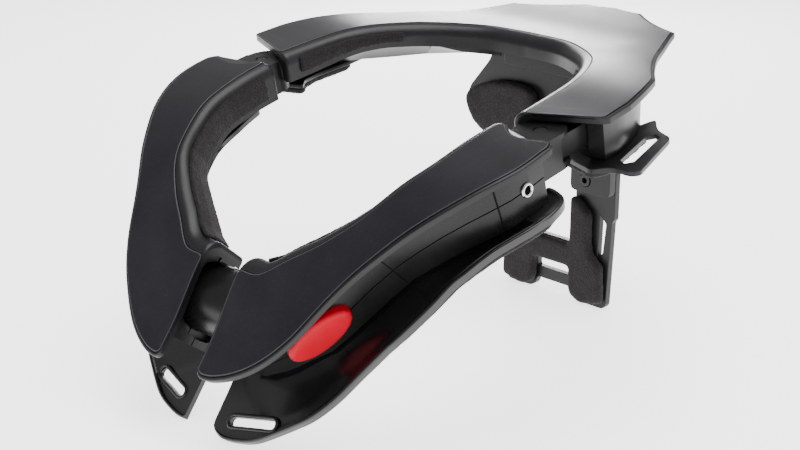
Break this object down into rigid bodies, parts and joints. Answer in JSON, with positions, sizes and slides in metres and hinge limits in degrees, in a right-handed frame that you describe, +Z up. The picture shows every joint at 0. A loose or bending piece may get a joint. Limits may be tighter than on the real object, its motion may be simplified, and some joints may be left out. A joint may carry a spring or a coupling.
{
  "type": "motocross neck brace",
  "caption": "Rigid neck brace for motocross: a rear collar with back strut, shoulder flanges and padded plates, and two hinged front wings that latch over the chest and open by a red button.",
  "frame": {"origin": "centre of the bounding box at its base, on the surface that the brace stands on", "axes": "+X to the wearer's left, +Y to the wearer's back along the longest extent, +Z up"},
  "size_m": [0.2678, 0.307, 0.1567],
  "materials": {
    "table_satin": "satin dark anthracite top skin",
    "shell_black": "satin black moulded plastic",
    "chest_gloss": "high gloss black",
    "housing_black": "semi-gloss black with fine seams",
    "foam_black": "dark felted foam",
    "hook_black": "short black hook pile",
    "bright_steel": "bright machined steel",
    "button_red": "satin red"
  },
  "bodies": {
    "rear": {"rear_collar_panel": "table_satin", "rear_collar_shell": "shell_black", "left_rear_flange": "shell_black", "right_rear_flange": "shell_black", "upper_back_plate": "shell_black", "back_plate_flap": "shell_black", "strut_bracket": "shell_black", "back_strut": "shell_black", "left_hinge_knuckle": "housing_black", "right_hinge_knuckle": "housing_black", "rear_housing": "housing_black", "left_arm_housing": "housing_black", "right_arm_housing": "housing_black", "left_shoulder_pad": "foam_black", "right_shoulder_pad": "foam_black", "left_upper_back_pad": "foam_black", "right_upper_back_pad": "foam_black", "strut_pad": "foam_black", "left_rear_neck_strip": "hook_black", "right_rear_neck_strip": "hook_black", "left_strut_screw": "bright_steel", "right_strut_screw": "bright_steel"},
    "left_wing": {"left_wing_panel": "table_satin", "left_wing_shell": "shell_black", "left_wing_housing_upper": "housing_black", "left_wing_housing_lower": "housing_black", "left_wing_neck_strip": "hook_black", "left_wing_screw": "bright_steel", "left_chest_plate": "chest_gloss", "left_chest_pad": "foam_black", "left_hinge_sleeve": "housing_black", "left_hinge_pin": "bright_steel"},
    "right_wing": {"right_wing_panel": "table_satin", "right_wing_shell": "shell_black", "right_wing_housing_upper": "housing_black", "right_wing_housing_lower": "housing_black", "right_wing_neck_strip": "hook_black", "right_wing_screw": "bright_steel", "right_chest_plate": "chest_gloss", "right_chest_pad": "foam_black", "right_hinge_sleeve": "housing_black", "right_hinge_pin": "bright_steel", "latch_barrel": "housing_black"},
    "release_button": {"release_button": "button_red"}
  },
  "joints": [
    {"name": "left_wing_hinge", "type": "hinge", "parent": "rear", "child": "left_wing", "pos_m": [0.0965, -0.02125, 0.14421], "axis": [0, -0.1928, 0.9812], "range_deg": [0, 35]},
    {"name": "right_wing_hinge", "type": "hinge", "parent": "rear", "child": "right_wing", "pos_m": [-0.0965, -0.02125, 0.14421], "axis": [0, 0.1928, -0.9812], "range_deg": [0, 35]},
    {"name": "release_button_press", "type": "slide", "parent": "left_wing", "child": "release_button", "axis": [-0.8218, 0.2848, 0.4935], "range_m": [0, 0.0025], "stiffness_N_per_m": 400}
  ]
}
